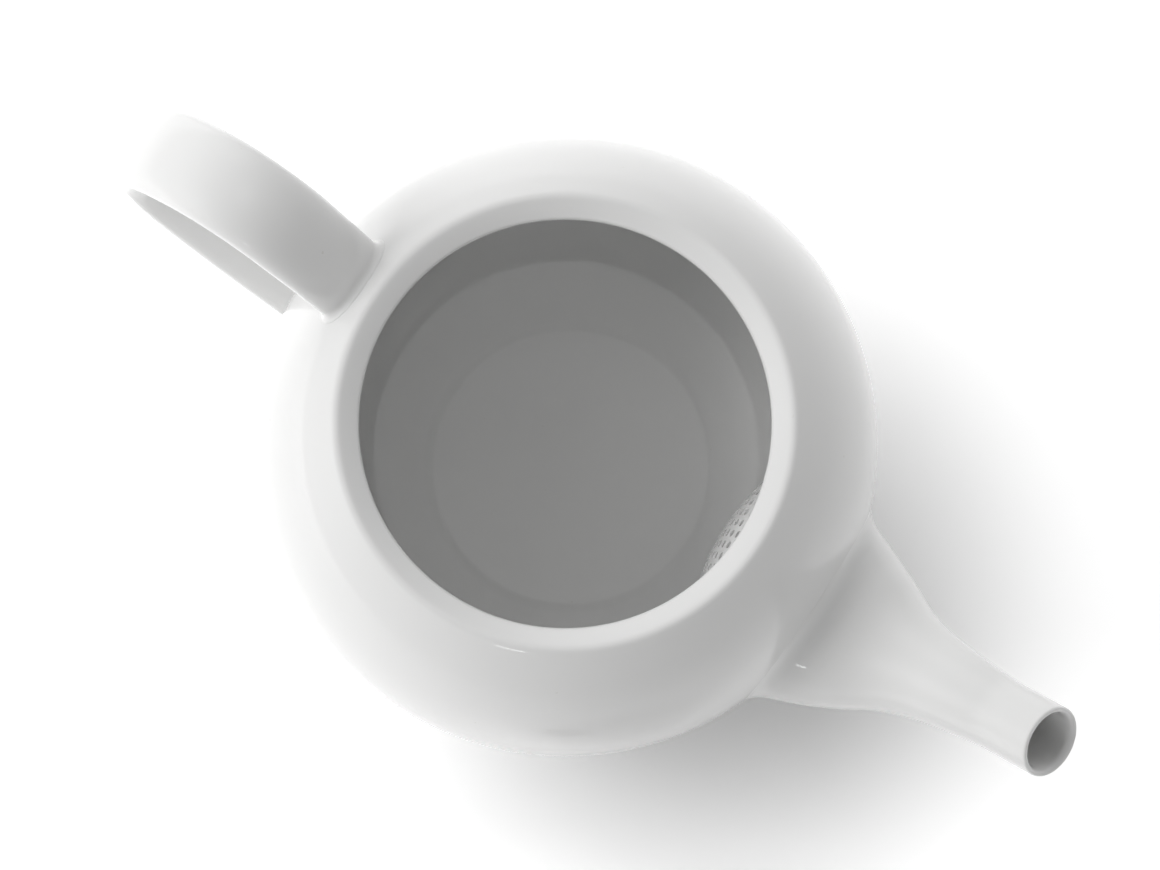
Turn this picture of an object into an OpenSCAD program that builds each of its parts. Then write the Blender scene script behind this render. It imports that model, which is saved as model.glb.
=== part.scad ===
// Back-handled porcelain teapot: hollow pot, spout, strap handle, pierced strainer and loose lid.
// The pot's axis is Z, the table is z = 0, and the spout points along +X.
// The lid is drawn where it lies, upside down on the table beside the pot.

/* [Body] */
// Radius at the belly line, where the pot is widest
belly_r = 62.5; // [61.5:0.5:64]
// Height of the belly line above the table
belly_z = 41; // [40:0.5:42]
// Thickness of the wall at the belly line
wall_t = 3.5; // [3:0.1:3.8]
// Height of the inside floor
floor_z = 5.9; // [5.6:0.1:6.4]
// Radius of the sunk disc of the inside floor
floor_r = 30.1; // [28:0.1:31]

/* [Mouth] */
// Radius of the rim's crest
rim_r = 43.9; // [43.5:0.1:44.3]
// Height of the rim's crest
rim_z = 75.3; // [74.5:0.1:76]
// Radius of the mouth inside the lid seat
mouth_r = 39.6; // [39.3:0.1:40]
// Fall of the lid seat from the crest to the mouth
seat_drop = 2.8; // [2.4:0.1:3.2]
// Rounding of the crest
crest_round = 1.6; // [1:0.1:2]

/* [Foot] */
// Outer radius of the foot ring on the table
foot_r = 35; // [34:0.5:35.5]
// Width of the foot ring's flat base
foot_w = 3.2; // [2.4:0.1:4]
// Height of the foot ring
foot_h = 5; // [4.5:0.1:5.5]
// Height of the sunk underside inside the foot ring
foot_recess = 2.6; // [2:0.1:2.8]

/* [Spout] */
// Outer radius of the spout's straight tube
tube_r = 7.2; // [6.8:0.1:7.6]
// Radius of the bore in the tube
bore_r = 5.7; // [5.4:0.1:5.9]
// Rise of the tube above level, in degrees
tube_rise = 35.5; // [34:0.5:37]
// Rise of the line square to the cut end, in degrees
cut_rise = 41; // [36:0.5:44]
// Distance of the tip's centre from the pot's axis
tip_x = 111; // [110:0.5:112]
// Height of the tip's centre
tip_z = 69.5; // [69:0.5:70.5]
// Length of the straight tube
tube_len = 13; // [12.5:0.5:13.5]
// Height of the middle of the spout where it leaves the pot
root_z = 39.5; // [39:0.5:40]
// Radius of the round opening from the pot into the spout
opening_r = 11.5; // [10:0.5:12]

/* [Handle] */
// Width of the strap
strap_w = 18; // [17:0.1:20]
// Width of the strap where it leaves the shoulder
strap_root_w = 16.6; // [15:0.1:17]
// Distance of the strap to the side, off the plane of the spout
strap_aside = 0.5; // [-1:0.1:1]
// Thickness of the strap at its edges
strap_t = 5; // [4.5:0.1:6]
// Extra thickness in the middle of the strap's outer face
strap_crown = 1.3; // [0.8:0.1:1.8]

/* [Strainer] */
// Distance of the strainer's crown from the pot's axis
strainer_x = 35.8; // [35:0.1:38]
// Turn of the strainer about the pot's axis, off the line of the spout, in degrees
strainer_turn = 2.8; // [-4:0.1:4]
// Radius of the strainer's curved face
strainer_arc = 47; // [40:1:50]
// Radius of the strainer across its collar
strainer_r = 24; // [23:0.5:24.5]
// Thickness of the strainer
strainer_t = 2.2; // [1.8:0.1:2.6]
// Diameter of each hole in the strainer
hole_d = 1.6; // [1.2:0.1:1.8]
// Distance between the holes
hole_pitch = 2.9; // [2.8:0.1:3.4]

/* [Lid] */
// Clearance between the lid and its seat, square to the seat
lid_gap = 0.3; // [0.3:0.05:0.5]
// Radius of the lid
lid_r = 42.8; // [42.4:0.1:43]
// Thickness of the lid
lid_t = 3.2; // [2.8:0.1:3.6]
// Rise of the lid from its edge to its middle
lid_dome = 6; // [5:0.5:7]
// Radius of the locating ring under the lid
ring_r = 37.6; // [37.2:0.1:37.8]
// Depth of the locating ring below the mouth
ring_depth = 3; // [2.6:0.1:3.2]
// Radius of the steam hole
steam_r = 1.5; // [1:0.1:2]
// Distance of the steam hole from the middle of the lid
steam_at = 26; // [22:1:30]
// Radius of the knob's flat top
knob_r = 13.5; // [12.5:0.5:14.5]
// Height of the knob above the middle of the lid
knob_h = 13; // [12:0.5:15]
// Distance from the pot's axis to the lid lying on the table
lid_away = 134; // [132:1:140]
// Bearing of the lying lid from the spout, in degrees
lid_bearing = -56.5; // [-58:0.5:-55]

/* [Hidden] */
$fn = 96;
glaze = [0.95, 0.95, 0.94];

// An arc that stands upright at one end and moves dr sideways and dz upwards has this radius.
function arc_radius(dr, dz) = (dr * dr + dz * dz) / (2 * dr);

seat_z = rim_z - seat_drop;
seat_tilt = atan2(seat_drop, rim_r - mouth_r);
lip_z = seat_z - 1.3;
lip_round = 0.6;
step_z = floor_z + 1.2;
inner_r = belly_r - wall_t;
shoulder_arc = arc_radius(belly_r - rim_r, rim_z - belly_z);
under_arc = arc_radius(belly_r - foot_r - 1.5, belly_z - foot_h);
inner_shoulder_arc = arc_radius(inner_r - mouth_r, lip_z - belly_z);
inner_under_arc = arc_radius(inner_r - floor_r - 0.9, belly_z - step_z);

// The spout's middle line and size: distance from the axis, height, half width, half height.
// It ends in a shoulder, a little thicker than the straight tube.
tube_way = [cos(tube_rise), sin(tube_rise)];
tube_start = [tip_x, tip_z] - tube_len * tube_way;
root_wall = 3.2;
spout_line = [
    [46, root_z, 25, 16.5],
    [54, root_z, 22.8, 15.8],
    [61, root_z + 0.3, 20.4, 14.8],
    [67, root_z + 1.8, 18, 13.8],
    [73, root_z + 4.6, 15, 12.4],
    [79, root_z + 8.2, 11.6, 10.6],
    [85, root_z + 12.3, 9.5, 9.3],
    [92, root_z + 17.3, 8.2, 8.2],
    concat(tube_start, (tube_r + 0.15) * [1, 1])
];

// The handle's middle line starts inside the shoulder and turns one way: [radius, degrees] of each bend.
handle_start = [-43.98, 61.99];
handle_heading = 125.6;
handle_first = 3;
handle_bends = [[120, 12], [17.5, 76.9], [80, 6.6], [22.5, 98.3], [101, 19.1]];
handle_last = 12;
strap_half = [strap_t / 2, strap_t / 2 + strap_crown];
strap_fullness = [0.88, 0.75, 1];
// The strap's outer face is this much thinner in the middle where it leaves the shoulder.
strap_root_flat = 1;

// The strainer's holes lie on rows turned by 60 degrees, as far out as this.
holes_reach = strainer_r - 5;
holes_across = ceil(holes_reach / hole_pitch) + 1;

// The lid's faces, as it sits on the pot.
lid_edge_z = lid_under(lid_r) + 2.4;
lid_top_z = lid_edge_z + lid_dome;
lid_arc = (lid_r * lid_r + lid_dome * lid_dome) / (2 * lid_dome);
ring_z = seat_z - ring_depth;
ring_t = 3;

// The lid turns half over about this line as it is lifted off and laid on its knob.
turn_at = [
    lid_away / 2 * cos(lid_bearing),
    lid_away / 2 * sin(lid_bearing),
    (lid_top_z + knob_h) / 2
];
turn_axis = [sin(lid_bearing), -cos(lid_bearing), 0];

// ---- helpers ----

function unit(v) = v / norm(v);

function spline_at(p, i, t) =
    let (a = p[max(i - 1, 0)], b = p[i], c = p[i + 1], d = p[min(i + 2, len(p) - 1)])
    0.5 * (2 * b + (c - a) * t + (2 * a - 5 * b + 4 * c - d) * t * t + (3 * b - a - 3 * c + d) * t * t * t);

// A smooth line through the points p, with n steps between one point and the next.
function spline(p, n) = concat(
    [for (i = [0 : len(p) - 2], j = [0 : n - 1]) spline_at(p, i, j / n)],
    [p[len(p) - 1]]
);

function heading(p, i) =
    let (a = p[max(i - 1, 0)], b = p[min(i + 1, len(p) - 1)])
    unit([b[0] - a[0], b[1] - a[1]]);

// A sine or cosine made fuller, for a section between an ellipse and a rectangle.
function fuller(v, power) = sign(v) * pow(abs(v), power);

// One ring of a swept form: centre c in the XZ plane, square to the heading h, half width w,
// reaching v[0] to the left of the heading and v[1] to its right, with a fullness for each of the three.
function ring(c, h, w, v, sides, power) = [
    for (k = [0 : sides - 1])
        let (a = 360 * k / sides, i = sin(a) > 0 ? 0 : 1, s = fuller(sin(a), power[i + 1]) * v[i])
        [c[0] - h[1] * s, w * fuller(cos(a), power[0]), c[1] + h[0] * s]
];

// A solid through rings that all have the same number of points.
module swept(rings) {
    sides = len(rings[0]);
    last = len(rings) - 1;
    points = [for (r = rings, q = r) q];
    skin = [
        for (i = [0 : last - 1], k = [0 : sides - 1])
            let (a = i * sides + k, b = i * sides + (k + 1) % sides)
            each [[a, b + sides, b], [a, a + sides, b + sides]]
    ];
    first_cap = [for (k = [0 : sides - 1]) k];
    last_cap = [for (k = [sides - 1 : -1 : 0]) last * sides + k];
    polyhedron(points, concat(skin, [first_cap, last_cap]), convexity = 6);
}

// Cuts a convex corner of an outline to the radius r; u and v point along its two sides.
module corner_cut(p, u, v, r) {
    half = acos(u * v) / 2;
    middle = unit(u + v);
    centre = p + middle * r / sin(half);
    reach = r / tan(half);
    difference() {
        polygon([p - middle * r / 2, p + u * reach, centre, p + v * reach]);
        translate(centre) circle(r);
    }
}

// Half outline bounded by an arc that stands upright at [r, belly_z], between two heights.
module arc_half(r, arc, low, high) {
    intersection() {
        union() {
            translate([r - arc, belly_z]) circle(arc);
            translate([0, belly_z - arc]) square([r - arc, 2 * arc]);
        }
        translate([0, low]) square([r + 1, high - low]);
    }
}

// ---- pot body ----

module outer_half() {
    foot_inner = foot_r - foot_w;
    arc_half(belly_r, shoulder_arc, belly_z, rim_z);
    arc_half(belly_r, under_arc, foot_h, belly_z);
    polygon([
        [0, foot_recess], [foot_inner - 1, foot_recess], [foot_inner - 0.4, 0.5],
        [foot_inner, 0], [foot_r - 0.7, 0], [foot_r, 0.7], [foot_r + 0.9, foot_h], [0, foot_h]
    ]);
}

module inner_half() {
    arc_half(inner_r, inner_shoulder_arc, belly_z, lip_z);
    arc_half(inner_r, inner_under_arc, step_z, belly_z);
    translate([0, floor_z]) square([floor_r, step_z - floor_z]);
}

module mouth_half() {
    translate([0, lip_z - 1]) square([mouth_r, rim_z - lip_z + 2]);
    polygon([[0, seat_z], [mouth_r, seat_z], [rim_r, rim_z], [rim_r, rim_z + 2], [0, rim_z + 2]]);
}

module rim_rounding() {
    up_the_seat = [cos(seat_tilt), sin(seat_tilt)];
    across = unit([rim_r - belly_r + shoulder_arc, rim_z - belly_z]);
    corner_cut([rim_r, rim_z], -up_the_seat, [across[1], -across[0]], crest_round);
    corner_cut([mouth_r, seat_z], up_the_seat, [0, -1], lip_round);
}

// The pot as if it were solid: what is luted to the outside ends on this surface.
module pot_outside() {
    rotate_extrude() outer_half();
}

// The space inside the pot: what is luted to the inside ends on this surface.
module pot_inside() {
    rotate_extrude() inner_half();
}

module pot_body() {
    color(glaze) difference() {
        rotate_extrude() difference() {
            outer_half();
            inner_half();
            mouth_half();
            rim_rounding();
        }
        translate([inner_r - 12, 0, root_z]) rotate([0, 90, 0]) cylinder(r = opening_r, h = 20);
    }
}

// ---- spout ----

// The spout's rings, taken in by the wall and starting 1 mm sooner where inset is 1.
function spout_rings(inset, sides, n) =
    let (line = spline(spout_line, n), steps = len(line) - 1, tip_wall = tube_r - bore_r)
    [
        for (i = [0 : steps])
            let (
                p = line[i] - [i == 0 ? inset : 0, 0, 0, 0],
                wall = inset * (root_wall + (tip_wall - root_wall) * i / steps),
                way = i == steps ? tube_way : heading(line, i)
            )
            ring(p, way, p[2] - wall, (p[3] - wall) * [1, 1], sides, [1, 1, 1])
    ];

module along_tube(from) {
    translate([tube_start[0], 0, tube_start[1]]) rotate([0, 90 - tube_rise, 0]) translate([0, 0, from])
        children();
}

module tip_cut() {
    translate([tip_x, 0, tip_z]) rotate([0, 90 - cut_rise, 0]) translate([-20, -20, 0]) cube([40, 40, 20]);
}

module spout() {
    color(glaze) difference() {
        union() {
            swept(spout_rings(0, 40, 3));
            along_tube(-1) cylinder(r = tube_r, h = tube_len + 5);
        }
        swept(spout_rings(1, 32, 2));
        along_tube(-1) cylinder(r = bore_r, h = tube_len + 6);
        tip_cut();
        pot_outside();
    }
}

// ---- handle ----

// Places and headings along the strap from at, heading way, round bend i and the ones after it.
function strap_walk(at, way, i) =
    i == len(handle_bends) ? [[at, way], [at + handle_last * [cos(way), sin(way)], way]] :
    let (
        r = handle_bends[i][0],
        turn = handle_bends[i][1],
        steps = ceil(turn / 9),
        centre = at + r * [-sin(way), cos(way)],
        end = way + turn
    )
    concat(
        [for (k = [0 : steps - 1]) let (a = way + turn * k / steps) [centre + r * [sin(a), -cos(a)], a]],
        strap_walk(centre + r * [sin(end), -cos(end)], end, i + 1)
    );

// 1 where the strap starts and 0 from the end of its first bend on.
function near_root(way) = max(0, 1 - (way - handle_heading) / handle_bends[0][1]);

module handle() {
    way = handle_heading;
    first = [[handle_start, way]];
    line = concat(first, strap_walk(handle_start + handle_first * [cos(way), sin(way)], way, 0));
    color(glaze) difference() {
        translate([0, strap_aside, 0]) swept([
            for (p = line)
                let (
                    w = strap_w - (strap_w - strap_root_w) * near_root(p[1]),
                    half = strap_half - [0, strap_root_flat * near_root(p[1])]
                )
                ring(p[0], [cos(p[1]), sin(p[1])], w / 2, half, 32, strap_fullness)
        ]);
        pot_outside();
    }
}

// ---- strainer ----

// Half outline of the strainer's dome and collar, with its crown at the origin, taken in by inset.
module strainer_half(inset) {
    arc = strainer_arc - inset;
    r = strainer_r - inset;
    edge = [r, strainer_arc - sqrt(arc * arc - r * r)];
    to_crown = unit([edge[1] - strainer_arc, -r]);
    difference() {
        intersection() {
            translate([0, strainer_arc]) circle(arc);
            square([r, strainer_arc]);
        }
        corner_cut(edge, to_crown, [0, 1], 4 - inset);
    }
}

module strainer_holes() {
    for (i = [-holes_across : holes_across], j = [-holes_across : holes_across]) {
        at = hole_pitch * [i + j / 2, j * sqrt(3) / 2];
        if (norm(at) < holes_reach)
            translate([0, 0, strainer_arc])
                rotate([0, 180 - asin(norm(at) / strainer_arc), atan2(at[1], at[0])])
                    translate([0, 0, strainer_arc - strainer_t - 1])
                        cylinder(d = hole_d, h = strainer_t + 2);
    }
}

module strainer() {
    color(glaze) intersection() {
        rotate([0, 0, strainer_turn]) translate([strainer_x, 0, root_z]) rotate([0, 90, 0]) difference() {
            rotate_extrude() difference() {
                strainer_half(0);
                strainer_half(strainer_t);
            }
            strainer_holes();
        }
        pot_inside();
    }
}

// ---- lid ----

// Height of the lid's underside over the seat, at the radius r.
function lid_under(r) = seat_z + (r - mouth_r) * tan(seat_tilt) + lid_gap / cos(seat_tilt);

// Lays the lid on the table, upside down on its knob.
module laid_down() {
    translate(turn_at) rotate(180, turn_axis) translate(-turn_at) children();
}

module lid_cap(inset) {
    translate([0, lid_top_z - lid_arc]) circle(lid_arc - inset);
}

module lid_half() {
    ring_root = mouth_r - 1;
    edge_way = unit([lid_top_z - lid_arc - lid_edge_z, lid_r]);
    difference() {
        intersection() {
            lid_cap(0);
            translate([0, ring_z]) square([lid_r, lid_top_z - ring_z]);
        }
        intersection() {
            lid_cap(lid_t);
            translate([0, ring_z - 1]) square([ring_r - ring_t, lid_top_z - ring_z]);
        }
        polygon([
            [ring_r, ring_z - 1], [ring_r, ring_z], [ring_root, lid_under(ring_root)],
            [lid_r + 1, lid_under(lid_r + 1)], [lid_r + 1, ring_z - 1]
        ]);
        corner_cut([lid_r, lid_edge_z], edge_way, [0, -1], 1.2);
        corner_cut([lid_r, lid_under(lid_r)], [0, 1], -[cos(seat_tilt), sin(seat_tilt)], 0.7);
    }
}

module lid() {
    color(glaze) laid_down() difference() {
        rotate_extrude() lid_half();
        translate([-steam_at, 0, ring_z]) cylinder(r = steam_r, h = lid_top_z);
    }
}

module lid_knob() {
    neck_groove = 7;
    color(glaze) laid_down() difference() {
        rotate_extrude() difference() {
            translate([0, lid_top_z - lid_t / 2]) square([knob_r, knob_h + lid_t / 2]);
            translate([knob_r + 1.5, lid_top_z + neck_groove / 2]) circle(neck_groove);
            corner_cut([knob_r, lid_top_z + knob_h], [-1, 0], [0, -1], 1.2);
        }
        rotate_extrude() intersection() {
            lid_cap(0);
            square([lid_r, lid_top_z]);
        }
    }
}

pot_body();
spout();
handle();
strainer();
lid();
lid_knob();
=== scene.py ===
# Looks of the porcelain teapot: pot, spout, strap handle, strainer, lid and knob on a white table.
# Lengths are millimetres up to the point where a mesh is made, in the frame of the CAD:
# the pot's axis is Z, the table is z = 0 and the spout points along +X.
import math

import bmesh
import bpy
from mathutils import Matrix, Vector


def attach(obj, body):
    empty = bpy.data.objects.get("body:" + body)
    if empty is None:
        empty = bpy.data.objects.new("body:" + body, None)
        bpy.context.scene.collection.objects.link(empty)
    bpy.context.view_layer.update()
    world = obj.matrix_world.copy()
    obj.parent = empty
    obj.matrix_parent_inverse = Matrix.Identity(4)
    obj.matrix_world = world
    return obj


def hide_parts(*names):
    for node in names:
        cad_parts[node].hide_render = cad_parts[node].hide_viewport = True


MM = 0.001
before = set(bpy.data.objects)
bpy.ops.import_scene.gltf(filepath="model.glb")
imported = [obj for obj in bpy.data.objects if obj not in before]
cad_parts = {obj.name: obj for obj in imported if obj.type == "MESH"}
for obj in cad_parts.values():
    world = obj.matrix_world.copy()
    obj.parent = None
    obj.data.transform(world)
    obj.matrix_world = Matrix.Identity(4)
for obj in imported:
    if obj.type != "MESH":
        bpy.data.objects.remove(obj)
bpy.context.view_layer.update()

# ---- sizes, the same as the solids' ----

BELLY_R, BELLY_Z, WALL = 62.5, 41.0, 3.5
FLOOR_Z, FLOOR_R, FLOOR_STEP = 5.9, 30.1, 1.2
RIM_R, RIM_Z, MOUTH_R, SEAT_DROP, CREST_ROUND = 43.9, 75.3, 39.6, 2.8, 1.6
FOOT_R, FOOT_W, FOOT_H, FOOT_RECESS = 35.0, 3.2, 5.0, 2.6
TUBE_R, BORE_R, TUBE_RISE, CUT_RISE, TUBE_LEN = 7.2, 5.7, 35.5, 41.0, 13.0
TIP_X, TIP_Z, ROOT_Z, OPENING_R, ROOT_WALL = 111.0, 69.5, 39.5, 11.5, 3.2
# Width and depth of the rounding outside the tip's lip, and depth of the rounding inside it.
LIP_OUT, LIP_IN = (0.5, 0.6), 2.0
STRAP_W, STRAP_IN, STRAP_OUT = 18.0, 2.5, 3.8
STRAP_ROOT_W, STRAP_ROOT_FLAT, STRAP_ASIDE = 16.6, 1.0, 0.5
STRAP_FULLNESS = (0.88, 0.75, 1.0)
HANDLE_START, HANDLE_HEADING, HANDLE_FIRST = (-43.98, 61.99), 125.6, 3.0
HANDLE_BENDS = ((120.0, 12.0), (17.5, 76.9), (80.0, 6.6), (22.5, 98.3), (101.0, 19.1))
HANDLE_LAST = 12.0
LID_GAP, LID_R, LID_T, LID_DOME, LID_SIDE = 0.3, 42.8, 3.2, 6.0, 2.4
RING_R, RING_DEPTH, RING_T = 37.6, 3.0, 3.0
STEAM_R, STEAM_AT = 1.5, 26.0
KNOB_R, KNOB_H, KNOB_GROOVE = 13.5, 13.0, 7.0
LID_AWAY, LID_BEARING = 134.0, -56.5

SEAT_Z = RIM_Z - SEAT_DROP
SEAT_SLOPE = SEAT_DROP / (RIM_R - MOUTH_R)
LIP_Z = SEAT_Z - 1.3
STEP_Z = FLOOR_Z + FLOOR_STEP
INNER_R = BELLY_R - WALL

# ---- what only the looks have ----

# The floor inside: a faint turning mark, a slow swell and a soft step up to the wall, each between two
# radii, and how far all that is thrown off the axis, which fades out between two radii under a height.
MARK_R, MARK_H = (18.4, 20.8), 0.16
SWELL_R, SWELL_H = (20, 28), 0.3
STEP_R = (28.8, 31.0)
THROWN, THROWN_R, THROWN_UNDER = Vector((0.7, 0.5, 0.0)), (31, 36.8), 12
# Radii of the glaze in the corners round the spout and the handle, and how deep in the wall both start.
SPOUT_FILLET, STRAP_FILLET, SUNK = 2.6, 1.4, 0.35
# Points round each piece, and along the spout's outside, lip and channel and the strap.
BODY_SIDES, SPOUT_SIDES, STRAP_SIDES, LID_SIDES, KNOB_SIDES = 240, 96, 72, 200, 120
SPOUT_RINGS, LIP_RINGS, CHANNEL_RINGS, STRAP_RINGS = 80, 18, 44, 190
# The strap's middle line: its step, how often it is smoothed, and how much the rings crowd at both roots.
STRAP_STEP, STRAP_SMOOTHING, STRAP_CROWDING = 0.5, 60, 0.985
# How much the glaze round the strap's roots spreads across the strap, and off its flat sides.
SPREAD_ACROSS, SPREAD_OFF = 0.6, 1.4
# The bare ring that the pot stands on is lower than this and outside this radius.
BARE_Z, BARE_R = 0.45, 30
MERGE = 1e-4  # points that close are one point


def upright_radius(dr, dz):
    """Radius of an arc that stands upright at one end and moves dr sideways and dz upwards."""
    return (dr * dr + dz * dz) / (2 * dr)


SHOULDER = upright_radius(BELLY_R - RIM_R, RIM_Z - BELLY_Z)
UNDER = upright_radius(BELLY_R - FOOT_R - 1.5, BELLY_Z - FOOT_H)
INNER_SHOULDER = upright_radius(INNER_R - MOUTH_R, LIP_Z - BELLY_Z)
INNER_UNDER = upright_radius(INNER_R - FLOOR_R - 0.9, BELLY_Z - STEP_Z)


# ---- outlines ----

def arc_points(centre, radius, start, end, step=1.5):
    """Points on an arc from the angle start to the angle end, in degrees."""
    n = max(2, math.ceil(abs(end - start) / step))
    return [
        (centre[0] + radius * math.cos(math.radians(start + (end - start) * i / n)),
         centre[1] + radius * math.sin(math.radians(start + (end - start) * i / n)))
        for i in range(n + 1)
    ]


def angle_on(centre, point):
    return math.degrees(math.atan2(point[1] - centre[1], point[0] - centre[0]))


def rounded(before, corner, after, radius, steps=8):
    """An arc of that radius in place of a corner between straight lines to before and to after."""
    p = Vector(corner)
    u, v = (Vector(before) - p).normalized(), (Vector(after) - p).normalized()
    half = u.angle(v) / 2
    reach, centre = radius / math.tan(half), p + (u + v).normalized() * radius / math.sin(half)
    a, b = p + u * reach - centre, p + v * reach - centre
    turn = a.angle(b)
    return [
        tuple(centre + (a * math.sin(turn * (1 - i / steps)) + b * math.sin(turn * i / steps))
              / math.sin(turn))
        for i in range(steps + 1)
    ]


def evenly(points, step):
    """The same line with points a step apart."""
    out, carry = [Vector(points[0])], 0.0
    for a, b in zip(points, points[1:]):
        a, b = Vector(a), Vector(b)
        length = (b - a).length
        at = step - carry
        while at < length:
            out.append(a.lerp(b, at / length))
            at += step
        carry = length - (at - step)
    return out + [Vector(points[-1])]


def smoothed(line, rounds):
    """The line with each point but the ends drawn towards its neighbours, that many times."""
    for _ in range(rounds):
        inner = [(a + b * 2 + c) / 4 for a, b, c in zip(line, line[1:], line[2:])]
        line = [line[0]] + inner + [line[-1]]
    return line


def softened(points, step=0.3, rounds=4, most_turn=3.0, most_length=3.0):
    """The line with its corners melted a little, as glaze leaves them, and no more points than it needs."""
    line = smoothed(evenly(points, step), rounds)
    kept, turned, gone = [line[0]], 0.0, 0.0
    for a, b, c in zip(line, line[1:], line[2:]):
        turned += math.degrees((b - a).angle(c - b, 0.0))
        gone += (b - a).length
        if turned > most_turn or gone > most_length:
            kept.append(b)
            turned = gone = 0.0
    return [tuple(p) for p in kept + [line[-1]]]


# ---- mesh making ----

def mesh_piece(name, bm, materials, body, node):
    """Turns a bmesh in millimetres into a piece that rides on a body and stands for a CAD node."""
    bmesh.ops.remove_doubles(bm, verts=bm.verts, dist=MERGE)
    bmesh.ops.recalc_face_normals(bm, faces=bm.faces)
    bmesh.ops.scale(bm, vec=(MM, MM, MM), verts=bm.verts)
    mesh = bpy.data.meshes.new(name)
    bm.to_mesh(mesh)
    bm.free()
    for polygon in mesh.polygons:
        polygon.use_smooth = True
    for material in materials:
        mesh.materials.append(material)
    piece = bpy.data.objects.new(name, mesh)
    bpy.context.scene.collection.objects.link(piece)
    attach(piece, body)
    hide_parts(node)
    return piece


def lathe(bm, outline, sides):
    """Turns an outline that starts and ends on the axis into a closed skin round Z."""
    rings = []
    for r, z in outline:
        if r < 1e-6:
            rings.append([bm.verts.new((0, 0, z))])
        else:
            rings.append([
                bm.verts.new((r * math.cos(math.tau * k / sides), r * math.sin(math.tau * k / sides), z))
                for k in range(sides)
            ])
    for low, high in zip(rings, rings[1:]):
        for k in range(sides):
            j = (k + 1) % sides
            corners = [low[k % len(low)], low[j % len(low)], high[j % len(high)], high[k % len(high)]]
            corners = list(dict.fromkeys(corners))
            if len(corners) > 2:
                bm.faces.new(corners)


def skin(bm, columns, closed_ends):
    """Faces between columns of points that go once round; the ends are joined to each other or capped."""
    grid = [[bm.verts.new(p) for p in column] for column in columns]
    sides, last = len(grid), len(grid[0]) - 1
    for k in range(sides):
        a, b = grid[k], grid[(k + 1) % sides]
        for i in range(last):
            bm.faces.new((a[i], b[i], b[i + 1], a[i + 1]))
        if closed_ends == "joined":
            bm.faces.new((a[last], b[last], b[0], a[0]))
    if closed_ends == "capped":
        bm.faces.new([column[0] for column in grid])
        bm.faces.new([column[last] for column in reversed(grid)])


def cut(bm, cutter_points, along, radius, sides=64):
    """Takes a round rod of that radius between two points out of the bmesh, exactly."""
    start, end = (Vector(p) for p in cutter_points)
    rod = bmesh.new()
    turn = Vector((0, 0, 1)).rotation_difference(Vector(along)).to_matrix().to_4x4()
    bmesh.ops.create_circle(rod, cap_ends=True, radius=radius, segments=sides)
    raised = bmesh.ops.extrude_face_region(rod, geom=rod.faces[:])
    top = [v for v in raised["geom"] if isinstance(v, bmesh.types.BMVert)]
    bmesh.ops.translate(rod, vec=(0, 0, (end - start).length), verts=top)
    bmesh.ops.transform(rod, matrix=Matrix.Translation(start) @ turn, verts=rod.verts)
    bmesh.ops.recalc_face_normals(rod, faces=rod.faces)
    objects = []
    for name, source in (("cut_target", bm), ("cut_rod", rod)):
        mesh = bpy.data.meshes.new(name)
        source.to_mesh(mesh)
        objects.append(bpy.data.objects.new(name, mesh))
        bpy.context.scene.collection.objects.link(objects[-1])
    target, tool = objects
    modifier = target.modifiers.new("hole", "BOOLEAN")
    modifier.operation, modifier.solver, modifier.object = "DIFFERENCE", "EXACT", tool
    depsgraph = bpy.context.evaluated_depsgraph_get()
    made = bpy.data.meshes.new_from_object(target.evaluated_get(depsgraph))
    bm.clear()
    bm.from_mesh(made)
    for item in objects:
        mesh = item.data
        bpy.data.objects.remove(item)
        bpy.data.meshes.remove(mesh)
    bpy.data.meshes.remove(made)


# ---- pot body ----

def body_outline():
    """Half outline of the pot, from the middle of its underside over the rim to the middle of its floor."""
    under_c, shoulder_c = (BELLY_R - UNDER, BELLY_Z), (BELLY_R - SHOULDER, BELLY_Z)
    inner_under_c = (INNER_R - INNER_UNDER, BELLY_Z)
    inner_shoulder_c = (INNER_R - INNER_SHOULDER, BELLY_Z)
    inner = FOOT_R - FOOT_W
    foot = [(0, FOOT_RECESS), (inner - 2.5, FOOT_RECESS), (inner - 1, FOOT_RECESS + 0.1), (inner - 0.4, 0.5),
            (inner, 0), (FOOT_R - 0.7, 0), (FOOT_R, 0.7), (FOOT_R + 0.7, FOOT_H - 0.7)]
    under = arc_points(under_c, UNDER, angle_on(under_c, (FOOT_R + 1.5, FOOT_H)) + 1.5, 0)
    crest = (RIM_R, RIM_Z)
    crest_angle = angle_on(shoulder_c, crest)
    shoulder = arc_points(shoulder_c, SHOULDER, 0, crest_angle)
    tangent = (crest[0] + math.sin(math.radians(crest_angle)),
               crest[1] - math.cos(math.radians(crest_angle)))
    seat = (MOUTH_R, SEAT_Z)
    crest_arc = rounded(tangent, crest, seat, CREST_ROUND)
    shoulder = [p for p in shoulder if p[1] < crest_arc[0][1]]
    lip = rounded(crest, seat, (MOUTH_R, 0), 0.6)
    throat_start = angle_on(inner_shoulder_c, (MOUTH_R, LIP_Z))
    throat = arc_points(inner_shoulder_c, INNER_SHOULDER, throat_start, 0)
    bowl_end = FLOOR_R + 2.4
    bowl_last = angle_on(inner_under_c, (bowl_end, bowl_z(bowl_end)))
    bowl = arc_points(inner_under_c, INNER_UNDER, 0, bowl_last)
    floor_radii = (31.4, 31.0, 30.7, 30.4, 30.1, 29.8, 29.5, 29.2, 28.8, 27.5,
                   25, 23, 21, 20.4, 19.8, 19.2, 18.4, 17, 9, 0)
    floor = [(r, floor_z(r)) for r in floor_radii]
    return foot + under + shoulder[1:] + crest_arc + lip + throat + bowl[1:] + floor


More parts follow.
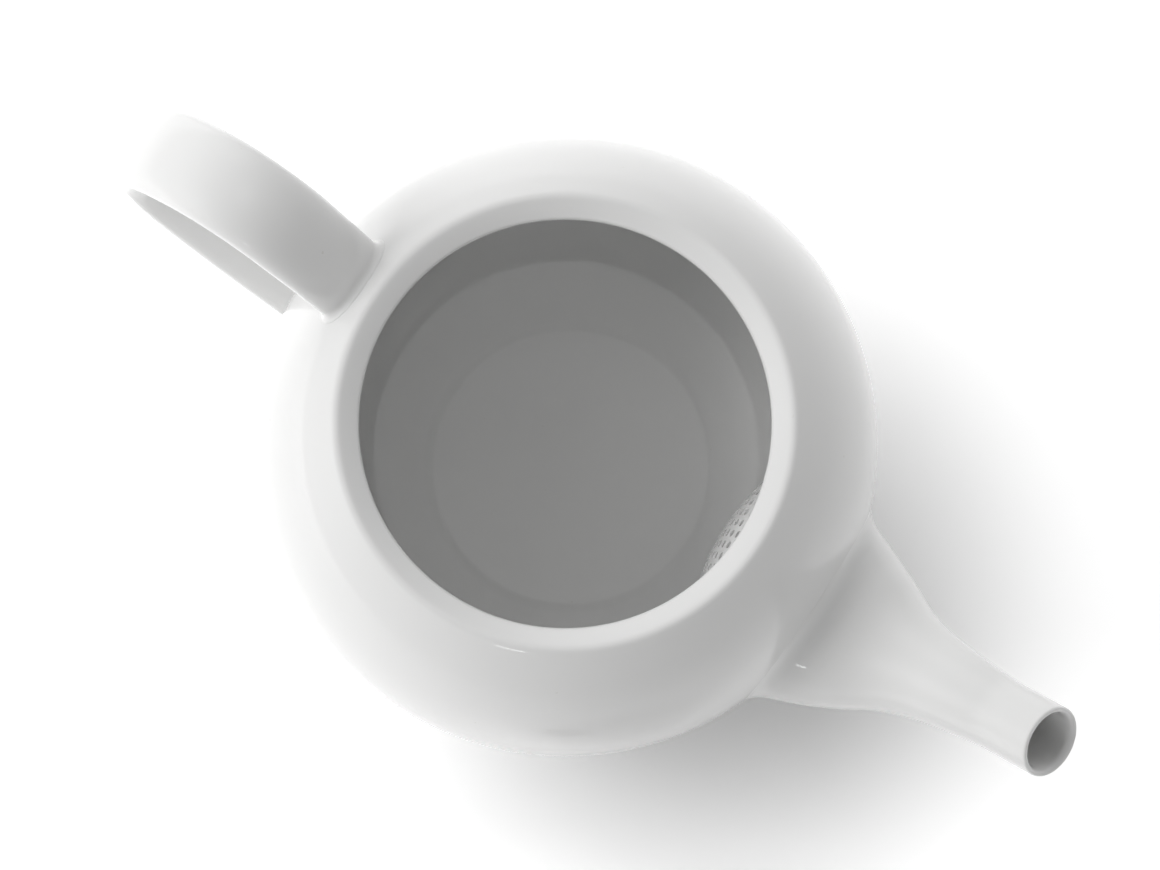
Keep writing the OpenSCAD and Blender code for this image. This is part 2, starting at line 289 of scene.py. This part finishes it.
def bowl_z(r):
    """Height of the inside wall under the belly's widest ring."""
    return BELLY_Z - math.sqrt(INNER_UNDER ** 2 - (r - INNER_R + INNER_UNDER) ** 2)


def eased(value, low, high):
    """0 below low, 1 above high and a soft rise between them."""
    u = min(max((value - low) / (high - low), 0.0), 1.0)
    return u * u * (3 - 2 * u)


def floor_z(r):
    """Height of the floor inside, from its flat middle over the mark, the swell and the step."""
    floor = FLOOR_Z + MARK_H * eased(r, *MARK_R) + SWELL_H * eased(r, *SWELL_R)
    return floor + (bowl_z(max(r, FLOOR_R)) - floor) * eased(r, *STEP_R)


def make_body(glaze, bare):
    bm = bmesh.new()
    lathe(bm, softened(body_outline()), BODY_SIDES)
    for vert in bm.verts:
        r = math.hypot(vert.co.x, vert.co.y)
        if FLOOR_Z - 0.1 < vert.co.z < THROWN_UNDER and r < THROWN_R[1]:
            vert.co += THROWN * (1 - eased(r, *THROWN_R))
    cut(bm, ((INNER_R - 12, 0, ROOT_Z), (INNER_R + 8, 0, ROOT_Z)), (1, 0, 0), OPENING_R)
    for face in bm.faces:
        centre = face.calc_center_median()
        on_foot = centre.z < BARE_Z and math.hypot(centre.x, centre.y) > BARE_R
        face.material_index = 1 if on_foot else 0
    return mesh_piece("pot_shell", bm, (glaze, bare), "pot", "pot_body")


def outside_of_pot(point):
    """Distance of a point outside the pot's skin, and the way straight out."""
    x, y, z = point
    r = math.hypot(x, y)
    radius = SHOULDER if z >= BELLY_Z else UNDER
    dr, dz = r - (BELLY_R - radius), z - BELLY_Z
    length = math.hypot(dr, dz)
    out = Vector((dr / length * x / r, dr / length * y / r, dz / length))
    return length - radius, out


def with_glaze_fillet(point, push, radius):
    """Moves a point near the pot outwards along push, as glaze fills the corner between two surfaces."""
    distance, _ = outside_of_pot(point)
    if distance >= radius:
        return point
    inside = max(distance, 0.0)
    spread = radius - math.sqrt(max(radius * radius - (radius - inside) ** 2, 0.0))
    moved = point + push * spread
    now, out = outside_of_pot(moved)
    return moved + out * (max(distance, -SUNK) - now)


def first_outside(at, low, high, steps=240, halvings=30):
    """The parameter between low and high where at(parameter) comes out to SUNK under the pot's skin."""
    for i in range(steps + 1):
        t = low + (high - low) * i / steps
        if outside_of_pot(at(t))[0] > -SUNK:
            a, b = t - (high - low) / steps, t
            for _ in range(halvings):
                m = (a + b) / 2
                a, b = (a, m) if outside_of_pot(at(m))[0] > -SUNK else (m, b)
            return b
    return high


# ---- spout ----

TUBE_WAY = (math.cos(math.radians(TUBE_RISE)), math.sin(math.radians(TUBE_RISE)))
TUBE_START = (TIP_X - TUBE_LEN * TUBE_WAY[0], TIP_Z - TUBE_LEN * TUBE_WAY[1])
# Stations from inside the pot to the tube: x, z, half width and half height.
SPOUT_LINE = (
    (46, ROOT_Z, 25, 16.5), (54, ROOT_Z, 22.8, 15.8), (61, ROOT_Z + 0.3, 20.4, 14.8),
    (67, ROOT_Z + 1.8, 18, 13.8), (73, ROOT_Z + 4.6, 15, 12.4), (79, ROOT_Z + 8.2, 11.6, 10.6),
    (85, ROOT_Z + 12.3, 9.5, 9.3), (92, ROOT_Z + 17.3, 8.2, 8.2), TUBE_START + (TUBE_R, TUBE_R),
)


def spline_at(points, t):
    """Point of a smooth line through points, and the way it goes, at t from 0 to the last point's number."""
    last = len(points) - 1
    i = min(int(t), last - 1)
    t -= i
    a, b, c, d = (Vector(points[k]) for k in (max(i - 1, 0), i, i + 1, min(i + 2, last)))
    q, r = 2 * a - 5 * b + 4 * c - d, 3 * b - a - 3 * c + d
    return 0.5 * (2 * b + (c - a) * t + q * t * t + r * t ** 3), 0.5 * ((c - a) + 2 * q * t + 3 * r * t * t)


def spout_station(t):
    """Centre, heading, half width and half height of the spout at t; the straight tube is the last unit."""
    bends = len(SPOUT_LINE) - 1
    if t >= bends:
        s = (t - bends) * TUBE_LEN
        centre = (TUBE_START[0] + s * TUBE_WAY[0], TUBE_START[1] + s * TUBE_WAY[1])
        return centre, TUBE_WAY, TUBE_R, TUBE_R
    p, way = spline_at(SPOUT_LINE, t)
    h = Vector((way[0], way[1])).normalized()
    blend = max(0.0, t - bends + 1)
    h = Vector((h[0] + (TUBE_WAY[0] - h[0]) * blend, h[1] + (TUBE_WAY[1] - h[1]) * blend)).normalized()
    return (p[0], p[1]), (h[0], h[1]), p[2], p[3]


def spout_point(t, angle, inset):
    """Point of the spout's skin at the angle round it, taken in by inset, and the way out of the skin."""
    (x, z), h, w, v = spout_station(t)
    c, s = math.cos(angle), math.sin(angle)
    point = Vector((x - h[1] * (v - inset) * s, (w - inset) * c, z + h[0] * (v - inset) * s))
    out = Vector((-h[1] * s / v, c / w, h[0] * s / v)).normalized()
    return point, out


def spout_column(angle):
    """One line of the spout's skin: from the pot out to the lip, over it and back down the channel."""
    bends = len(SPOUT_LINE) - 1
    tip_wall, crest = TUBE_R - BORE_R, TUBE_R - LIP_OUT[0]
    shear = math.tan(math.radians(CUT_RISE - TUBE_RISE))
    end = bends + 1 - (LIP_OUT[1] + shear * math.sin(angle) * TUBE_R) / TUBE_LEN

    def wall(t):
        return ROOT_WALL + (tip_wall - ROOT_WALL) * min(t / bends, 1.0)

    start = first_outside(lambda t: spout_point(t, angle, 0)[0], 0, bends)
    column = []
    for i in range(SPOUT_RINGS + 1):
        point, out = spout_point(start + (end - start) * (i / SPOUT_RINGS) ** 2, angle, 0)
        column.append(with_glaze_fillet(point, out, SPOUT_FILLET))
    for i in range(1, LIP_RINGS):
        a = math.pi * i / LIP_RINGS
        width, depth = LIP_OUT if a < math.pi / 2 else (crest - BORE_R, LIP_IN)
        r = crest + width * math.cos(a)
        t = bends + 1 - (shear * math.sin(angle) * r + depth * (1 - math.sin(a))) / TUBE_LEN
        column.append(spout_point(t, angle, TUBE_R - r)[0])
    end = bends + 1 - (LIP_IN + shear * math.sin(angle) * BORE_R) / TUBE_LEN
    start = first_outside(lambda t: spout_point(t, angle, wall(t))[0], 0, bends)
    for i in range(CHANNEL_RINGS + 1):
        t = end + (start - end) * i / CHANNEL_RINGS
        column.append(spout_point(t, angle, wall(t))[0])
    return column


def make_spout(glaze):
    bm = bmesh.new()
    skin(bm, [spout_column(math.tau * k / SPOUT_SIDES) for k in range(SPOUT_SIDES)], "joined")
    return mesh_piece("spout_shell", bm, (glaze,), "pot", "spout")


# ---- handle ----

def handle_walk():
    """Points of the strap's middle line, seen from the side, with the bends eased into each other."""
    at, way, points = Vector(HANDLE_START), HANDLE_HEADING, [Vector(HANDLE_START)]

    def ahead(length):
        return Vector((math.cos(math.radians(way)), math.sin(math.radians(way)))) * length

    at = at + ahead(HANDLE_FIRST)
    points.append(at)
    for radius, turn in HANDLE_BENDS:
        centre = at + radius * Vector((-math.sin(math.radians(way)), math.cos(math.radians(way))))
        points += [Vector(p) for p in arc_points(centre, radius, way - 90, way - 90 + turn)][1:]
        way += turn
        at = points[-1]
    points.append(at + ahead(HANDLE_LAST))
    return smoothed(evenly(points, STRAP_STEP), STRAP_SMOOTHING)


def fuller(value, power):
    """A sine or cosine raised towards 1, which makes an ellipse boxier."""
    return math.copysign(abs(value) ** power, value)


def handle_columns():
    """Lines of the strap's skin from its upper root to its lower one, one for each point round it."""
    line = handle_walk()
    last = len(line) - 1
    root_end = (HANDLE_FIRST + HANDLE_BENDS[0][0] * math.radians(HANDLE_BENDS[0][1])) / STRAP_STEP

    def at(t, angle):
        i = min(max(int(t), 0), last - 1)
        centre = line[i].lerp(line[i + 1], t - i)
        way = (line[min(i + 2, last)] - line[max(i - 1, 0)]).normalized()
        c, s = math.cos(angle), math.sin(angle)
        near_root = max(0.0, 1 - t / root_end)
        outer = STRAP_OUT - STRAP_ROOT_FLAT * near_root
        half_w = (STRAP_W - (STRAP_W - STRAP_ROOT_W) * near_root) / 2
        if s > 0:
            side = fuller(s, STRAP_FULLNESS[1]) * STRAP_IN
        else:
            side = fuller(s, STRAP_FULLNESS[2]) * outer
        across = STRAP_ASIDE + half_w * fuller(c, STRAP_FULLNESS[0])
        return Vector((centre[0] - way[1] * side, across, centre[1] + way[0] * side)), way

    columns = []
    for k in range(STRAP_SIDES):
        angle = math.tau * k / STRAP_SIDES
        first = first_outside(lambda t: at(t, angle)[0], 0, last / 2)
        final = first_outside(lambda t: at(t, angle)[0], last, last / 2)
        column = []
        for i in range(STRAP_RINGS + 1):
            u = i / STRAP_RINGS
            along = u - STRAP_CROWDING * math.sin(math.tau * u) / math.tau
            point, way = at(first + (final - first) * along, angle)
            c, s = math.cos(angle), math.sin(angle)
            off = s * SPREAD_OFF
            out = Vector((-way[1] * off, c * SPREAD_ACROSS, way[0] * off)).normalized()
            column.append(with_glaze_fillet(point, out, STRAP_FILLET))
        columns.append(column)
    return columns


def make_handle(glaze):
    bm = bmesh.new()
    skin(bm, handle_columns(), "capped")
    return mesh_piece("handle_strap", bm, (glaze,), "pot", "handle")


# ---- lid ----

def lid_under(r):
    """Height of the lid's underside over the seat, at that radius."""
    tilt = math.atan(SEAT_SLOPE)
    return SEAT_Z + (r - MOUTH_R) * SEAT_SLOPE + LID_GAP / math.cos(tilt)


LID_EDGE_Z = lid_under(LID_R) + LID_SIDE
LID_TOP_Z = LID_EDGE_Z + LID_DOME
LID_ARC = (LID_R ** 2 + LID_DOME ** 2) / (2 * LID_DOME)
# The lid is made on the pot and laid upside down beside it: half a turn about the joint's axis.
TURN_AXIS = Vector((math.sin(math.radians(LID_BEARING)), -math.cos(math.radians(LID_BEARING)), 0))
TURN_AT = Vector((
    LID_AWAY / 2 * math.cos(math.radians(LID_BEARING)),
    LID_AWAY / 2 * math.sin(math.radians(LID_BEARING)),
    (LID_TOP_Z + KNOB_H) / 2,
))
HALF_TURN = Matrix.Rotation(math.pi, 4, TURN_AXIS)
LAID_DOWN = Matrix.Translation(TURN_AT) @ HALF_TURN @ Matrix.Translation(-TURN_AT)


def cap_z(r, inset=0.0):
    """Height of the lid's dome at that radius, or of a dome inset under it."""
    return LID_TOP_Z - LID_ARC + math.sqrt((LID_ARC - inset) ** 2 - r * r)


def lid_outline():
    """Half outline of the lid on the pot, from the middle of its hollow to the middle of its top."""
    ring_z, hollow_r, root = SEAT_Z - RING_DEPTH, RING_R - RING_T, MOUTH_R - 1
    hollow = [(r, cap_z(r, LID_T)) for r in (0, 6, 12, 18, 24, 29, hollow_r - 1.6)]
    hollow += rounded(hollow[-1], (hollow_r, cap_z(hollow_r, LID_T)), (hollow_r, ring_z), 1.4)
    ring = rounded((hollow_r, ring_z + 3), (hollow_r, ring_z), (RING_R, ring_z), 0.8)
    ring += rounded((hollow_r, ring_z), (RING_R, ring_z), (root, lid_under(root)), 0.6)
    start, low, high = (root, lid_under(root)), (LID_R, lid_under(LID_R)), (LID_R, LID_EDGE_Z)
    flange = [start] + rounded(start, low, high, 0.8)
    flange += rounded(low, high, (LID_R - 4, cap_z(LID_R - 4)), 1.3)
    top = [(r, cap_z(r)) for r in (LID_R - 4, 34, 29, 24, 19, 15, 10, 5, 0)]
    return hollow + ring + flange + top


def make_lid(glaze):
    bm = bmesh.new()
    lathe(bm, softened(lid_outline(), step=0.25, rounds=2), LID_SIDES)
    steam_hole = ((-STEAM_AT, 0, SEAT_Z), (-STEAM_AT, 0, LID_TOP_Z + 5))
    cut(bm, steam_hole, (0, 0, 1), STEAM_R, sides=32)
    bmesh.ops.transform(bm, matrix=LAID_DOWN, verts=bm.verts)
    return mesh_piece("lid_shell", bm, (glaze,), "lid", "lid")


def knob_outline():
    """Half outline of the knob, from inside the lid's top over its waist to the middle of its end."""
    waist_c = (KNOB_R + 1.5, LID_TOP_Z + KNOB_GROOVE / 2)
    foot_z = cap_z(KNOB_R) - 0.1
    waist = [p for p in arc_points(waist_c, KNOB_GROOVE, 250, 110, 4) if p[0] < KNOB_R - 0.4]
    waist = [p for p in waist if p[1] > foot_z + 0.5]
    top_z = LID_TOP_Z + KNOB_H
    edge = rounded((KNOB_R, top_z - 4), (KNOB_R, top_z), (0, top_z), 1.6)
    foot = [(0, foot_z), (waist[0][0] + 0.6, foot_z)]
    return foot + waist + [(KNOB_R, waist[-1][1] + 0.6)] + edge + [(0, top_z)]


def make_knob(glaze):
    bm = bmesh.new()
    lathe(bm, softened(knob_outline(), step=0.25), KNOB_SIDES)
    bmesh.ops.transform(bm, matrix=LAID_DOWN, verts=bm.verts)
    return mesh_piece("lid_grip", bm, (glaze,), "lid", "lid_knob")


# ---- materials ----

# How fine each pattern is (scale of the noise, per metre) and how deep each bump, in metres.
CLOUDS, SPECKS, RIPPLE, ORANGE_PEEL, HANDLED = 22.0, 620.0, 55.0, 420.0, 9.0
RUBBED, BARE_GRAIN, TABLE_GRAIN = 90.0, 2600.0, 14.0
RIPPLE_DEPTH, PEEL_DEPTH, BARE_DEPTH = 0.00008, 0.000012, 0.00003
GLAZE_WHITE, CLOUD_SHARE, SPECK_GREY = (0.79, 0.79, 0.785), 0.975, (0.70, 0.69, 0.67)


def node_material(name):
    """A new material, its nodes and its Principled shader."""
    material = bpy.data.materials.new(name)
    material.use_nodes = True
    tree = material.node_tree
    shader = tree.nodes["Principled BSDF"]
    return material, tree, shader


def add(tree, kind, **settings):
    """A new node; each setting is one of its sockets or, where it has none of that name, a property."""
    node = tree.nodes.new(kind)
    for key, value in settings.items():
        if key in node.inputs:
            node.inputs[key].default_value = value
        else:
            setattr(node, key, value)
    return node


def noise(tree, place, scale, detail=2.0, roughness=0.5):
    """A noise texture that sits on the piece."""
    node = add(tree, "ShaderNodeTexNoise", Scale=scale, Detail=detail, Roughness=roughness)
    tree.links.new(place.outputs["Object"], node.inputs["Vector"])
    return node


def ramp(tree, source, stops):
    """A colour ramp over a 0 to 1 source; stops are (position, grey or colour)."""
    node = tree.nodes.new("ShaderNodeValToRGB")
    elements = node.color_ramp.elements
    while len(elements) < len(stops):
        elements.new(0.5)
    for element, (position, colour) in zip(elements, stops):
        element.position = position
        red_green_blue = colour if isinstance(colour, tuple) else (colour,) * 3
        element.color = (*red_green_blue, 1.0)
    tree.links.new(source, node.inputs["Fac"])
    return node


def glazed_porcelain(name, white):
    """White porcelain under a clear glaze: faint clouds, rare specks, a slow ripple, fine orange peel."""
    material, tree, shader = node_material(name)
    place = tree.nodes.new("ShaderNodeTexCoord")
    clouds = noise(tree, place, CLOUDS, 3.0)
    dull = tuple(c * CLOUD_SHARE for c in white)
    tone = ramp(tree, clouds.outputs["Fac"], ((0.3, dull), (0.7, white)))
    specks = noise(tree, place, SPECKS, 1.0)
    speck = ramp(tree, specks.outputs["Fac"], ((0.80, 0.0), (0.84, 1.0)))
    mixed = add(tree, "ShaderNodeMix", data_type="RGBA")
    tree.links.new(speck.outputs["Color"], mixed.inputs["Factor"])
    tree.links.new(tone.outputs["Color"], mixed.inputs["A"])
    mixed.inputs["B"].default_value = (*SPECK_GREY, 1.0)
    tree.links.new(mixed.outputs["Result"], shader.inputs["Base Color"])
    ripple = noise(tree, place, RIPPLE)
    orange_peel = noise(tree, place, ORANGE_PEEL)
    bump_slow = add(tree, "ShaderNodeBump", Strength=0.3, Distance=RIPPLE_DEPTH)
    bump_fine = add(tree, "ShaderNodeBump", Strength=0.25, Distance=PEEL_DEPTH)
    tree.links.new(ripple.outputs["Fac"], bump_slow.inputs["Height"])
    tree.links.new(orange_peel.outputs["Fac"], bump_fine.inputs["Height"])
    tree.links.new(bump_slow.outputs["Normal"], bump_fine.inputs["Normal"])
    tree.links.new(bump_fine.outputs["Normal"], shader.inputs["Normal"])
    tree.links.new(bump_fine.outputs["Normal"], shader.inputs["Coat Normal"])
    handled = noise(tree, place, HANDLED, 4.0)
    gloss = ramp(tree, handled.outputs["Fac"], ((0.35, 0.30), (0.75, 0.40)))
    tree.links.new(gloss.outputs["Color"], shader.inputs["Roughness"])
    shader.inputs["Coat Weight"].default_value = 1.0
    shader.inputs["Coat Roughness"].default_value = 0.06
    shader.inputs["Coat IOR"].default_value = 1.5
    shader.inputs["Specular IOR Level"].default_value = 0.3
    return material


def bare_porcelain(name):
    """The unglazed ring that the pot stands on: matt, a little darker and rubbed grey in places."""
    material, tree, shader = node_material(name)
    place = tree.nodes.new("ShaderNodeTexCoord")
    rubbed = noise(tree, place, RUBBED, 5.0, 0.65)
    dark, light = (0.56, 0.54, 0.51), (0.74, 0.73, 0.70)
    tone = ramp(tree, rubbed.outputs["Fac"], ((0.35, dark), (0.65, light)))
    tree.links.new(tone.outputs["Color"], shader.inputs["Base Color"])
    grain = noise(tree, place, BARE_GRAIN)
    bump = add(tree, "ShaderNodeBump", Strength=0.4, Distance=BARE_DEPTH)
    tree.links.new(grain.outputs["Fac"], bump.inputs["Height"])
    tree.links.new(bump.outputs["Normal"], shader.inputs["Normal"])
    rough = ramp(tree, rubbed.outputs["Fac"], ((0.3, 0.62), (0.7, 0.8)))
    tree.links.new(rough.outputs["Color"], shader.inputs["Roughness"])
    return material


# ---- studio ----

# Soft patches of sky that light the table: bearing and rise in degrees, strength.
SKY = ((0, 90, 0.17), (188, 30, 1.85), (308, 6, 2.4), (68, 6, 2.1), (98, 6, 0.55))
PATCH_SHARPNESS = 9.0
# The table glows towards white, and the glow is weak round the pot's shadow, a painted shadow that deepens
# the real one: the painted shadow's middle on the table, the distances from it between which the lift grows,
# all in metres, and the lift at both.
PAINTED_SHADOW_MIDDLE = (0.040, -0.0075, 0.0)
LIFT_FROM, LIFT_TO = 0.024, 0.090
LIFT_IN_PAINTED_SHADOW, LIFT_FAR = 0.014, 0.544
TABLE_REACH, TABLE_DROP = 4.0, 0.0001  # half its width, and how far it lies under the pieces, in metres
LAMPS_AIM = Vector((0, 0, 0.04))
# The rays that see the white studio instead of the sky that lights it.
LOOKING = ("Is Camera Ray", "Is Glossy Ray", "Is Transmission Ray")


def direction(bearing, rise):
    """The way towards a bearing and a rise in degrees."""
    a, e = math.radians(bearing), math.radians(rise)
    return Vector((math.cos(a) * math.cos(e), math.sin(a) * math.cos(e), math.sin(e)))


def math_node(tree, operation, *values):
    """The result of a Math node; each value is a number or another node's output."""
    node = add(tree, "ShaderNodeMath", operation=operation)
    for socket, value in zip(node.inputs, values):
        if isinstance(value, (int, float)):
            socket.default_value = value
        else:
            tree.links.new(value, socket)
    return node.outputs[0]


def rays_that_see(tree, kinds):
    """1 for rays of those kinds from Light Path, 0 for the rest."""
    path = tree.nodes.new("ShaderNodeLightPath")
    value = path.outputs[kinds[0]]
    for kind in kinds[1:]:
        value = math_node(tree, "MAXIMUM", value, path.outputs[kind])
    return value


def make_world(patches):
    """White to look at and in reflections, while everything is lit by soft patches of sky."""
    world = bpy.data.worlds.new("studio")
    bpy.context.scene.world = world
    world.use_nodes = True
    tree = world.node_tree
    tree.nodes.clear()
    way = tree.nodes.new("ShaderNodeTexCoord").outputs["Generated"]
    total = None
    for bearing, rise, strength in patches:
        near = add(tree, "ShaderNodeVectorMath", operation="DOT_PRODUCT")
        near.inputs[1].default_value = direction(bearing, rise)
        tree.links.new(way, near.inputs[0])
        power = math_node(tree, "MULTIPLY_ADD", near.outputs["Value"],
                          PATCH_SHARPNESS, -PATCH_SHARPNESS)
        bright = math_node(tree, "MULTIPLY", math_node(tree, "EXPONENT", power), strength)
        total = math_node(tree, "ADD", total, bright) if total else bright
    seen = add(tree, "ShaderNodeBackground", Strength=1.0)
    seen.inputs["Color"].default_value = (1, 1, 1, 1)
    sky = tree.nodes.new("ShaderNodeBackground")
    sky.inputs["Color"].default_value = (1, 1, 1, 1)
    tree.links.new(total, sky.inputs["Strength"])
    either = tree.nodes.new("ShaderNodeMixShader")
    tree.links.new(rays_that_see(tree, LOOKING), either.inputs["Fac"])
    tree.links.new(sky.outputs[0], either.inputs[1])
    tree.links.new(seen.outputs[0], either.inputs[2])
    out = tree.nodes.new("ShaderNodeOutputWorld")
    tree.links.new(either.outputs[0], out.inputs["Surface"])


def make_table():
    """The white table top, lifted towards white by a glow where it is looked at; the glow is weak round the
    pot's shadow, a painted shadow.
    """
    bm = bmesh.new()
    bmesh.ops.create_grid(bm, x_segments=8, y_segments=8, size=TABLE_REACH)
    bmesh.ops.translate(bm, vec=(0, 0, -TABLE_DROP), verts=bm.verts)
    mesh = bpy.data.meshes.new("table_top")
    bm.to_mesh(mesh)
    bm.free()
    table = bpy.data.objects.new("table_top", mesh)
    bpy.context.scene.collection.objects.link(table)
    material, tree, shader = node_material("white_table")
    place = tree.nodes.new("ShaderNodeTexCoord")
    grain = noise(tree, place, TABLE_GRAIN, 3.0)
    tone = ramp(tree, grain.outputs["Fac"], ((0.3, 0.925), (0.7, 0.935)))
    tree.links.new(tone.outputs["Color"], shader.inputs["Base Color"])
    shader.inputs["Roughness"].default_value = 0.9
    shader.inputs["Specular IOR Level"].default_value = 0.0
    # Painted shadow: the glow grows with the distance from the middle of the pot's shadow, so the table is
    # darkest there.
    away = add(tree, "ShaderNodeVectorMath", operation="DISTANCE")
    tree.links.new(place.outputs["Object"], away.inputs[0])
    away.inputs[1].default_value = PAINTED_SHADOW_MIDDLE
    lift = add(tree, "ShaderNodeMapRange", interpolation_type="SMOOTHSTEP")
    tree.links.new(away.outputs["Value"], lift.inputs["Value"])
    for socket, value in zip(lift.inputs[1:5], (LIFT_FROM, LIFT_TO, LIFT_IN_PAINTED_SHADOW, LIFT_FAR)):
        socket.default_value = value
    glow = tree.nodes.new("ShaderNodeEmission")
    tree.links.new(lift.outputs["Result"], glow.inputs["Strength"])
    both = tree.nodes.new("ShaderNodeAddShader")
    either = tree.nodes.new("ShaderNodeMixShader")
    tree.links.new(shader.outputs[0], both.inputs[0])
    tree.links.new(glow.outputs[0], both.inputs[1])
    tree.links.new(rays_that_see(tree, LOOKING), either.inputs["Fac"])
    tree.links.new(shader.outputs[0], either.inputs[1])
    tree.links.new(both.outputs[0], either.inputs[2])
    tree.links.new(either.outputs[0], tree.nodes["Material Output"].inputs["Surface"])
    mesh.materials.append(material)


def softbox(name, bearing, rise, distance, size, power, mirrored=False):
    """A lamp of that width and height in metres, aimed at the pot; mirrored ones show in the glaze."""
    lamp = bpy.data.lights.new(name, "AREA")
    lamp.shape, lamp.energy = "RECTANGLE", power
    lamp.size, lamp.size_y = size
    way = direction(bearing, rise)
    holder = bpy.data.objects.new(name, lamp)
    holder.location = LAMPS_AIM + way * distance
    holder.rotation_euler = way.to_track_quat("Z", "Y").to_euler()
    holder.visible_glossy = mirrored
    bpy.context.scene.collection.objects.link(holder)


def make_camera():
    """Almost straight above the pot, with the spout to the lower right.

    The pot's middle, at the height of its belly, is seen at seen_at in a picture of 1160 by 870 pixels; the
    distance is in millimetres and the focal length in pixels.
    """
    turn, lean = math.radians(33.5), math.radians(8.0)
    distance, focal, width, sensor = 700.0, 3485.0, 1160.0, 36.0
    target, seen_at, middle = Vector((0, 0, BELLY_Z)), (565.8, 444.1), (580.0, 435.0)
    back = Vector((math.sin(turn) * math.sin(lean), -math.cos(turn) * math.sin(lean), math.cos(lean)))
    right = Vector((math.cos(turn), math.sin(turn), 0))
    up = back.cross(right)
    shift_x = (seen_at[0] - middle[0]) / focal * distance
    shift_y = -(seen_at[1] - middle[1]) / focal * distance
    place = (target + back * distance - right * shift_x - up * shift_y) * MM
    data = bpy.data.cameras.new("camera")
    data.sensor_fit, data.sensor_width, data.lens = "HORIZONTAL", sensor, focal / width * sensor
    data.clip_start, data.clip_end = 0.01, 20.0
    camera = bpy.data.objects.new("camera", data)
    turned = Matrix((right, up, back)).transposed().to_4x4()
    camera.matrix_world = Matrix.Translation(place) @ turned
    bpy.context.scene.collection.objects.link(camera)
    bpy.context.scene.camera = camera


# ---- the scene ----

make_camera()
glaze = glazed_porcelain("white_glaze", GLAZE_WHITE)
bare = bare_porcelain("bare_foot")

make_body(glaze, bare)
make_spout(glaze)
make_handle(glaze)
# The pot is pictured alone, so the lid beside it doesn't show in its glaze.
for piece in (make_lid(glaze), make_knob(glaze)):
    piece.visible_glossy = False
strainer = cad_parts["strainer"]
strainer.data.materials.clear()
strainer.data.materials.append(glaze)

make_world(SKY)
make_table()
softbox("key", bearing=218, rise=30, distance=0.9, size=(0.5, 0.5), power=3.9)
softbox("fill", bearing=128, rise=30, distance=0.9, size=(0.5, 0.5), power=2.1)
softbox("overhead", bearing=123.5, rise=82, distance=1.2, size=(0.3, 0.3), power=0.11, mirrored=True)
softbox("spark", bearing=288, rise=28, distance=1.2, size=(0.16, 0.04), power=0.15, mirrored=True)

bpy.context.scene.view_settings.view_transform = "Standard"
